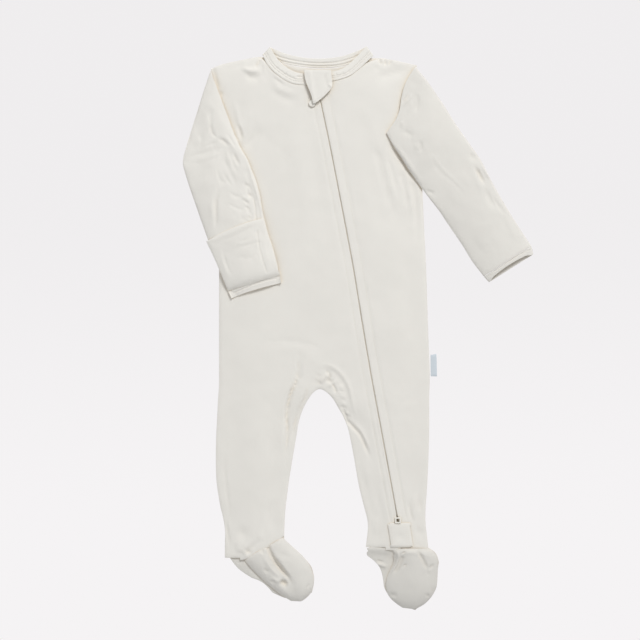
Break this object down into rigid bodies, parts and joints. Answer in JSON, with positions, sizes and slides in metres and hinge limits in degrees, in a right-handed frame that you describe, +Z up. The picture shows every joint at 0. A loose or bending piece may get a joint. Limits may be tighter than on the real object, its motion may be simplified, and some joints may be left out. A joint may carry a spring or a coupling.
{
  "type": "footed baby sleepsuit",
  "caption": "Footed baby sleepsuit of plain off-white jersey, laid flat, with long sleeves, a fold-over mitten and a zip from the neck down one leg.",
  "frame": {"origin": "middle of the underside of the whole garment's box, on the surface that it lies on", "axes": "+Y towards the neck, +X towards the wearer's left, +Z up from the surface"},
  "size_m": [0.363, 0.581, 0.0118],
  "materials": {
    "jersey": "fine cotton jersey, warm off-white, matt",
    "rib": "folded jersey binding with two rows of coverstitch",
    "zip_tape": "woven polyester tape",
    "zip_coil": "nylon coil, beige",
    "plastic": "moulded white plastic",
    "label": "satin ribbon, pale blue-grey, blank"
  },
  "bodies": {
    "root": {"back_panel": "jersey", "front_right": "jersey", "front_left": "jersey", "sleeve_right": "jersey", "sleeve_left": "jersey", "cuff_band_right": "jersey", "cuff_band_left": "jersey", "mitten_flap_right": "jersey", "neck_band_back": "rib", "neck_band_front_right": "rib", "neck_band_front_left": "rib", "zip_tape_right": "zip_tape", "zip_tape_left": "zip_tape", "zip_coil": "zip_coil", "zip_slider": "plastic", "zip_pull": "plastic", "zip_guard": "jersey", "zip_stop": "plastic", "zip_end_patch": "jersey", "foot_upper_right": "jersey", "foot_upper_left": "jersey", "foot_sole_right": "jersey", "foot_sole_left": "jersey", "side_label": "label"}
  },
  "joints": []
}
